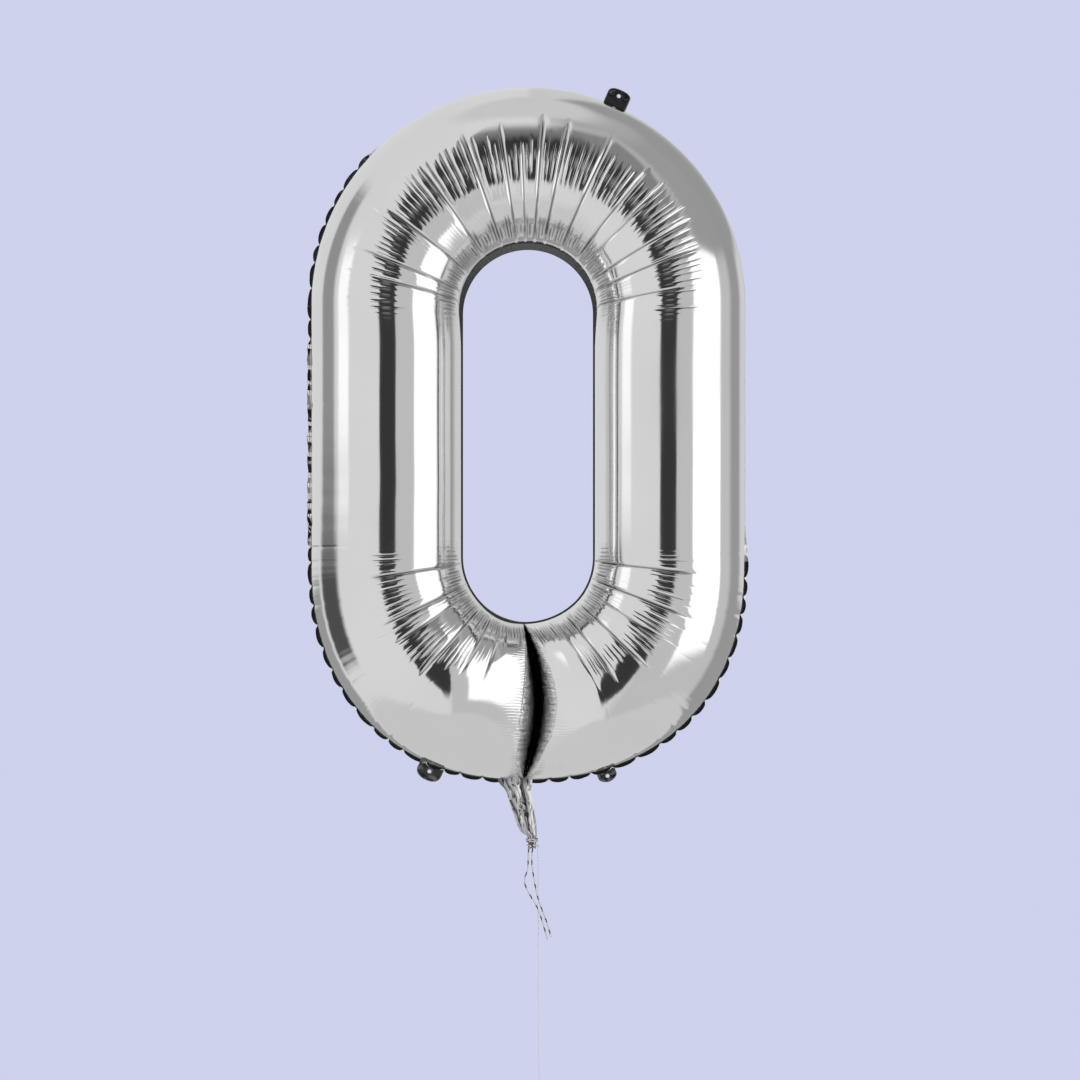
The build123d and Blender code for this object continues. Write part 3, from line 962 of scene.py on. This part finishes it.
def tail_mesh(name, side):
    """One crumpled film of the tail: a sheet of uneven facets that thickens where it is gathered, with painted
    shade in its hollows, along dark streaks and on the fold at the left.
    """
    draw = np.random.default_rng(61 if side < 0 else 62)
    levels, lefts, rights = (np.array(column) for column in zip(*TAIL_SHAPE))
    bm = bmesh.new()
    bmesh.ops.create_grid(bm, x_segments=TAIL_ACROSS, y_segments=TAIL_DOWN, size=0.5)
    folds = draw.uniform(0, 1, 8)
    streaks = draw.uniform(0, 1, 2 * TAIL_ACROSS + 4)
    dark = []
    for vert in bm.verts:
        across, down = vert.co.x + 0.5, 0.5 - vert.co.y
        z = levels[0] + (levels[-1] - levels[0]) * down
        left, right = np.interp(-z, -levels, lefts), np.interp(-z, -levels, rights)
        inside = min(across, 1 - across, down * 3) > 0.02
        jitter = draw.uniform(-JITTER, JITTER, 2) if inside else (0.0, 0.0)
        x = left + (right - left) * (across + jitter[0] / TAIL_ACROSS)
        loose = 0.35 + 0.65 * soft_step(374, 386, -z)
        bundle = soft_step(410, 438, -z)
        edge = 1 - abs((across - 0.5) * 2) ** 3
        broad = abs(math.sin(math.pi * (2.3 * across + 0.5 * down + folds[0])))
        narrow = abs(math.sin(math.pi * (5.1 * across - 1.1 * down + folds[1])))
        streak = np.interp(across * TAIL_ACROSS + 3.0 * down, np.arange(len(streaks)), streaks)
        rough = 0.7 * streak + draw.uniform(0, 0.3)
        # painted shade: darker on the fold at the upper left, in the hollows between ridges and along some
        # streaks, kept as the mesh's shade layer
        flap_shade = 0.75 * (1 - soft_step(0.10, 0.30, across + 0.8 * down)) if side < 0 else 0.0
        hollow_shade = 1.7 * (0.62 - broad) + 1.2 * (0.35 - narrow) + 2.2 * max(0.0, streak - 0.55)
        dark.append(min(0.9, max(0.05, flap_shade, hollow_shade)))
        ridges = 3.0 * (broad + 0.5 * narrow) + rough
        height = 0.25 + loose * edge * ridges * (1 - 0.45 * bundle) + bundle * edge * 1.4
        height = min(height, 0.4 + 4.8 * (1 - bundle) + 2.6 * bundle)
        vert.co = Vector((x, side * height, z + jitter[1] * 72 / TAIL_DOWN)) * MM
    bmesh.ops.triangulate(bm, faces=bm.faces)
    face_out(bm, side)
    mesh = finished(bm, name, smooth=False)
    float_layer(mesh, "shade", np.array(dark))
    return mesh


# painted shade: the tail's film has a darker base colour than the open film's
crumpled_shaded_look = foil_material("crumpled_foil_shaded", 0.66, 0.11, 0.4)
for side, node in ((-1, "filling_tail_front_film"), (1, "filling_tail_rear_film")):
    name = node + "_crumpled"
    tail = add_piece(name, tail_mesh(node, side), None, crumpled_shaded_look, node)
    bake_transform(tail)


# ---------------------------------------------------------------- bindings
# Three turns of the baker's twine are pulled tight round the gathered tail, with two turns of the clear
# line just below them.
TURN_STEPS = 40


def round_the_tail(node, wire, count):
    """A helix of a cord round the bundle, inside its CAD turns' box."""
    low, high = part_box(node)
    middle, reach = (low + high) / 2, (high - low - Vector((wire, wire, wire))) / 2
    places = []
    for step in range(count * TURN_STEPS + 1):
        turn = 2 * math.pi * step / TURN_STEPS
        x, y = math.cos(turn), -math.sin(turn)
        square = (abs(x) ** 3 + abs(y) ** 3) ** (-1 / 3)
        z = 1 - 2 * step / (count * TURN_STEPS)
        places.append(middle + Vector((reach.x * square * x, reach.y * square * y, reach.z * z)))
    return places


turns_mesh = twine_mesh("twine_binding", round_the_tail("twine_binding", TWINE, 3))
add_piece("twine_binding_wound", turns_mesh, "tail", twine_look, "twine_binding")
line_piece("line_binding_wound", round_the_tail("line_binding", LINE, 2), "tail", "line_binding")


# ---------------------------------------------------------------- hanging tabs
# Three rounded tabs of welded film stand on the outer edge, each with a punched hole for hanging the
# figure up. They are limp and crumpled, and lie dark against the light: painted shade in their film's base colour.
TABS = (  # node, body, angle from straight up, width, length, how pointed its end is
    ("top_hanging_tab", "top_tab", 23.5, 26.0, 14.0, 0.0),
    ("lower_left_hanging_tab", "lower_left_tab", -154.7, 28.0, 20.0, 0.1),
    ("lower_right_hanging_tab", "lower_right_tab", 159.5, 21.0, 13.0, 0.55),
)
TAB_BEND_CENTRE = 140.5  # the CAD flange's half turns are about this height, above and below
TAB_START = 241.3
ROOT_OVERLAP = 5.4  # the tab's film starts on the flange
PUNCHED = 2.0
TAB_FILM = 0.3
TAB_ROUND, TAB_OUT = 72, 9


def tab_edge(angle, width, length, pointed):
    """The tab's outline as seen from its hole's middle: straight at the root, rounded or pointed outside."""
    way_x, way_out = abs(math.cos(angle)), math.sin(angle)
    if way_out < 0:
        return min(width / 2 / max(way_x, 1e-6), (length / 2 + ROOT_OVERLAP) / -way_out)
    power = 2.4 - 1.2 * pointed
    return ((way_x / (width / 2)) ** power + (way_out / (length / 2)) ** power) ** (-1 / power)


def tab_mesh(name, start, out_way, width, length, pointed, seed):
    """A crumpled disc of film with a hole, on its place on the outer edge."""
    draw = np.random.default_rng(seed)
    bm = bmesh.new()
    bmesh.ops.create_grid(bm, x_segments=TAB_ROUND, y_segments=TAB_OUT, size=0.5)
    side_way = Vector((out_way.z, 0, -out_way.x))
    centre = start + out_way * (length / 2)
    bumps = [(draw.uniform(-1, 1), draw.uniform(-1, 1), draw.uniform(-1.6, 1.6)) for _ in range(16)]
    for vert in bm.verts:
        around, share = 2 * math.pi * round((vert.co.x + 0.5) * TAB_ROUND) / TAB_ROUND, vert.co.y + 0.5
        radius = PUNCHED + (tab_edge(around, width, length, pointed) - PUNCHED) * share
        across, out = radius * math.cos(around), radius * math.sin(around)
        u, v = across / width * 2, out / length * 2
        crumple = sum(high * math.exp(-((u - a) ** 2 + (v - b) ** 2) / 0.07) for a, b, high in bumps)
        loose = soft_step(-length / 2 - 1, -length / 2 + 4, out) * min(1.0, share * 1.6)
        vert.co = (centre + side_way * across + out_way * out + Vector((0, 0.5 * crumple * loose - 0.2, 0))) * MM
    bmesh.ops.remove_doubles(bm, verts=bm.verts, dist=MERGE)
    face_out(bm, -1)
    bmesh.ops.solidify(bm, geom=bm.faces, thickness=TAB_FILM * MM)
    return finished(bm, name)


# painted shade: the tabs' film has a near-black base colour
tab_shaded_look = foil_material("tab_foil_shaded", 0.16, 0.18, 0.5)
for seed, (node, body, angle, width, length, pointed) in enumerate(TABS, 71):
    turned = math.radians(angle)
    out_way = Vector((math.sin(turned), 0, math.cos(turned)))
    start = Vector((0, 0, math.copysign(TAB_BEND_CENTRE, out_way.z))) + out_way * TAB_START
    mesh = tab_mesh(node, start, out_way, width, length, pointed, seed)
    tab = add_piece(node + "_punched", mesh, None, tab_shaded_look, node)
    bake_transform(tab)


# ---------------------------------------------------------------- stage
# A pale round floor well below the balloon and one soft key light. The mirror film shows all that stands
# round it, so a plain light tent closes the studio in, with a dark gap towards the viewer, two tall soft
# panels in front of it to the right and left, and a low reflector under the foot.
FLOOR_Z, FLOOR_RADIUS = -1.75, 2.2
KEY_PLACE = Vector((1.8, -2.6, 1.9))


def disc(radius, middle, segments):
    bm = bmesh.new()
    bmesh.ops.create_circle(bm, cap_ends=True, radius=radius, segments=segments)
    bmesh.ops.translate(bm, verts=bm.verts, vec=middle)
    return bm


def stand(name, bm, look):
    """Put up a piece of the stage."""
    mesh = finished(bm, name)
    mesh.materials.append(look)
    piece = bpy.data.objects.new(name, mesh)
    bpy.context.scene.collection.objects.link(piece)
    return piece


floor_look = bpy.data.materials.new("pale_floor")
nodes = Tree(floor_look)
mottle = nodes.mixed(nodes.noise(nodes.place(), 3.0, 2.0), (0.66, 0.67, 0.78, 1), (0.70, 0.71, 0.82, 1))
nodes.finish_plain({"Base Color": mottle, "Roughness": 0.8})
floor = stand("floor", disc(FLOOR_RADIUS, (0, 0.3, FLOOR_Z), 96), floor_look)

key = bpy.data.lights.new("key", "AREA")
key.shape = "RECTANGLE"
key.size, key.size_y = 2.0, 2.6
key.energy = 40
key_light = bpy.data.objects.new("key", key)
key_light.location = KEY_PLACE
key_light.rotation_euler = (-KEY_PLACE).to_track_quat("-Z", "Y").to_euler()
bpy.context.scene.collection.objects.link(key_light)
floor.visible_glossy = key_light.visible_glossy = False


def stand_glowing(name, bm, look, nodes, strength, shown=None):
    """A piece of the stage that only the foil sees: it gives light, and is clear where shown is 0."""
    light = nodes.node("ShaderNodeEmission", None, {"Color": grey(1.0), "Strength": strength})
    if shown:
        clear = nodes.node("ShaderNodeBsdfTransparent")
        light = nodes.node("ShaderNodeMixShader", None, {0: shown, 1: clear, 2: light})
    nodes.finish(light)
    piece = stand(name, bm, look)
    piece.visible_camera = piece.visible_shadow = False


def soft_panel(name, azimuth, distance, width, low, high, brightness, fade):
    """A panel at an azimuth from the viewer's side, facing the balloon; fade: its sides, foot and top."""
    bm = bmesh.new()
    bmesh.ops.create_grid(bm, x_segments=1, y_segments=1, size=0.5)
    turned = math.radians(azimuth)
    way = Vector((math.sin(turned), -math.cos(turned), 0))
    beside_it = Vector((math.cos(turned), math.sin(turned), 0))
    uv = bm.loops.layers.uv.new("panel")
    for face in bm.faces:
        for loop in face.loops:
            loop[uv].uv = (loop.vert.co.x, loop.vert.co.y)
    for vert in bm.verts:
        z = (low + high) / 2 + vert.co.y * (high - low)
        vert.co = way * distance + beside_it * vert.co.x * width + Vector((0, 0, z))
    look = bpy.data.materials.new(name)
    nodes = Tree(look)
    place = nodes.node("ShaderNodeAttribute", {"attribute_name": "panel"}, out="Vector")
    across, up, _ = nodes.parts(place)
    shown = (1 - across.call("ABSOLUTE").smooth(0.5 - fade[0], 0.5)) * up.smooth(-0.5, -0.5 + fade[1])
    stand_glowing(name, bm, look, nodes, brightness, shown * (1 - up.smooth(0.5 - fade[2], 0.5)))


soft_panel("right_panel", 60.0, 1.05, 0.84, -0.68, 0.50, 1.22, (0.04, 0.14, 0.03))
soft_panel("left_panel", -68.0, 1.55, 0.62, -0.14, 0.84, 1.10, (0.22, 0.24, 0.36))

low_look = bpy.data.materials.new("low_reflector")
nodes = Tree(low_look)
reach = nodes.node("ShaderNodeVectorMath", {"operation": "LENGTH"}, {"Vector": nodes.place()}, out="Value")
low_disc = disc(0.80, (0, 0, -0.76), 64)
stand_glowing("low_reflector", low_disc, low_look, nodes, 0.62, 1 - reach.smooth(1.02, 1.10))

TENT = 2.0
TENT_BRIGHTNESS = 1.11
bm = bmesh.new()
bmesh.ops.create_icosphere(bm, subdivisions=5, radius=TENT)
bmesh.ops.reverse_faces(bm, faces=bm.faces)
tent_look = bpy.data.materials.new("light_tent")
nodes = Tree(tent_look)
x_way, y_way, z_way = nodes.parts(nodes.place())
turn = x_way.call("ARCTAN2", -y_way) * (180 / math.pi)  # 0 towards the viewer, + to the right
rise = (z_way * (1 / TENT)).call("ARCSINE") * (180 / math.pi)

low_down = 1 - rise.smooth(-24, -6)
left_edge = -12.0 - 11.5 * rise.smooth(8, 22) + 7 * low_down
right_edge = 12.5 + 7 * rise.smooth(9, 20) - 8 * low_down
inside = (turn - left_edge).smooth(-1.0, 1.0) * (1 - (turn - right_edge).smooth(-1.0, 1.0))
gap = inside * rise.smooth(-27, -15) * (1 - rise.smooth(50, 64))
gap = gap * (1 - 0.25 * (turn.band(-6, 6, 3) * rise.band(12, 24, 4)))

light = 0.65  # the tent's level, and then each other level with where it is laid over those before
for level, share in (
    (0.50, turn.smooth(2, 16)),
    (0.31, turn.smooth(40, 62) * rise.smooth(17, 24)),
    (0.50, turn.smooth(82, 90) * (1 - rise.smooth(17, 24))),
    (0.30, turn.smooth(96, 108)),
    (0.58, turn.smooth(122, 136) * rise.band(-10, 18, 3)),
    (0.36, turn.smooth(140, 150) * rise.band(20, 42, 6)),
    (0.57, turn.smooth(152, 166) * rise.smooth(-12, -6)),
    (0.27, turn.band(-109, -84, 3) * rise.band(-6, 40, 5)),
    (0.07, turn.band(-113, -79, 4) * rise.smooth(-34, -25) * (1 - rise.smooth(-8, 3))),
    (0.30, (1 - turn.smooth(-124, -116)) * rise.band(-38, -7, 3)),
    (0.38, turn.band(20, 120, 12) * rise.band(60, 72, 5)),
    (0.56, rise.smooth(66, 76)),
    (0.60, 1 - rise.smooth(-46, -38)),
    (0.22, turn.band(12, 46, 5) * rise.band(19, 58, 4)),
    (0.033 + 0.17 * rise.smooth(34, 54), gap),
):
    light = light + (level - light) * share
stand_glowing("light_tent", bm, tent_look, nodes, light * TENT_BRIGHTNESS)

world = bpy.data.worlds.new("backdrop")
bpy.context.scene.world = world
sky = Tree(world)
plain = sky.node("ShaderNodeBackground", None, {"Color": (0.620, 0.642, 0.838, 1), "Strength": 1.0})
sky.finish(plain, "ShaderNodeOutputWorld")
